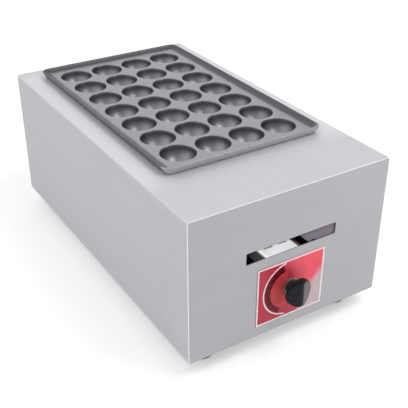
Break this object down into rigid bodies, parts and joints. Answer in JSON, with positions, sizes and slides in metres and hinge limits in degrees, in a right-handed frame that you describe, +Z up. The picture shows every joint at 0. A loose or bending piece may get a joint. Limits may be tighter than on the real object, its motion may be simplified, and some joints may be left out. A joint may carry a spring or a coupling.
{
  "type": "gas takoyaki maker",
  "caption": "Countertop gas cooker with a lift-off cast pan of round batter cups, a lighting slot and one gas knob, on rubber feet.",
  "frame": {"origin": "on the floor, under the middle of the casing and of the whole object's box", "axes": "+Z up, -Y the front with the knob, +X to the right seen from the front"},
  "size_m": [0.24, 0.462, 0.1915],
  "materials": {
    "stainless": "fine brushed, bright",
    "inner_steel": "plain mill finish",
    "shield_steel": "heat-tinted mill finish",
    "mixer_steel": "drawn tube",
    "pan_iron": "as cast, grey",
    "brass": "turned and cast brass",
    "copper": "drawn copper tube",
    "plated_steel": "zinc plated",
    "knob_plastic": "black moulded, satin",
    "label_paint": "printed, semi-gloss",
    "foot_rubber": "matt"
  },
  "bodies": {
    "base": {"casing": "stainless", "front_panel": "stainless", "back_panel": "stainless", "bottom_plate": "inner_steel", "burner_bar": "inner_steel", "bracket_front": "inner_steel", "bracket_rear": "inner_steel", "heat_shield_left": "shield_steel", "heat_shield_right": "shield_steel", "mixer_tube": "mixer_steel", "valve_body": "brass", "valve_bonnet": "brass", "injector": "brass", "pipe_nut_front": "brass", "pipe_nut_rear": "brass", "inlet_fitting": "brass", "gas_pipe": "copper", "valve_nut": "plated_steel", "inlet_locknut": "plated_steel", "bracket_screws": "plated_steel", "bonnet_screws": "plated_steel", "foot_screws": "plated_steel", "foot_nuts": "plated_steel", "bottom_screws": "plated_steel", "label_plate": "label_paint", "foot_front_left": "foot_rubber", "foot_front_right": "foot_rubber", "foot_rear_left": "foot_rubber", "foot_rear_right": "foot_rubber"},
    "pan": {"pan": "pan_iron"},
    "plug": {"valve_plug": "brass"},
    "control": {"valve_stem": "plated_steel", "knob": "knob_plastic"},
    "shutter": {"air_shutter": "inner_steel", "shutter_screw": "plated_steel"}
  },
  "joints": [
    {"name": "pan_lift", "type": "slide", "parent": "base", "child": "pan", "axis": [0, 0, 1], "range_m": [0, 0.06]},
    {"name": "valve_turn", "type": "hinge", "parent": "base", "child": "plug", "pos_m": [0, -0.2, 0.07], "axis": [0, -1, 0], "range_deg": [0, 180]},
    {"name": "knob_push", "type": "slide", "parent": "plug", "child": "control", "axis": [0, 1, 0], "range_m": [0, 0.0035], "stiffness_N_per_m": 900, "springref_m": -0.004},
    {"name": "shutter_turn", "type": "hinge", "parent": "base", "child": "shutter", "pos_m": [0, -0.131, 0.07], "axis": [0, -1, 0], "range_deg": [0, 60]}
  ]
}
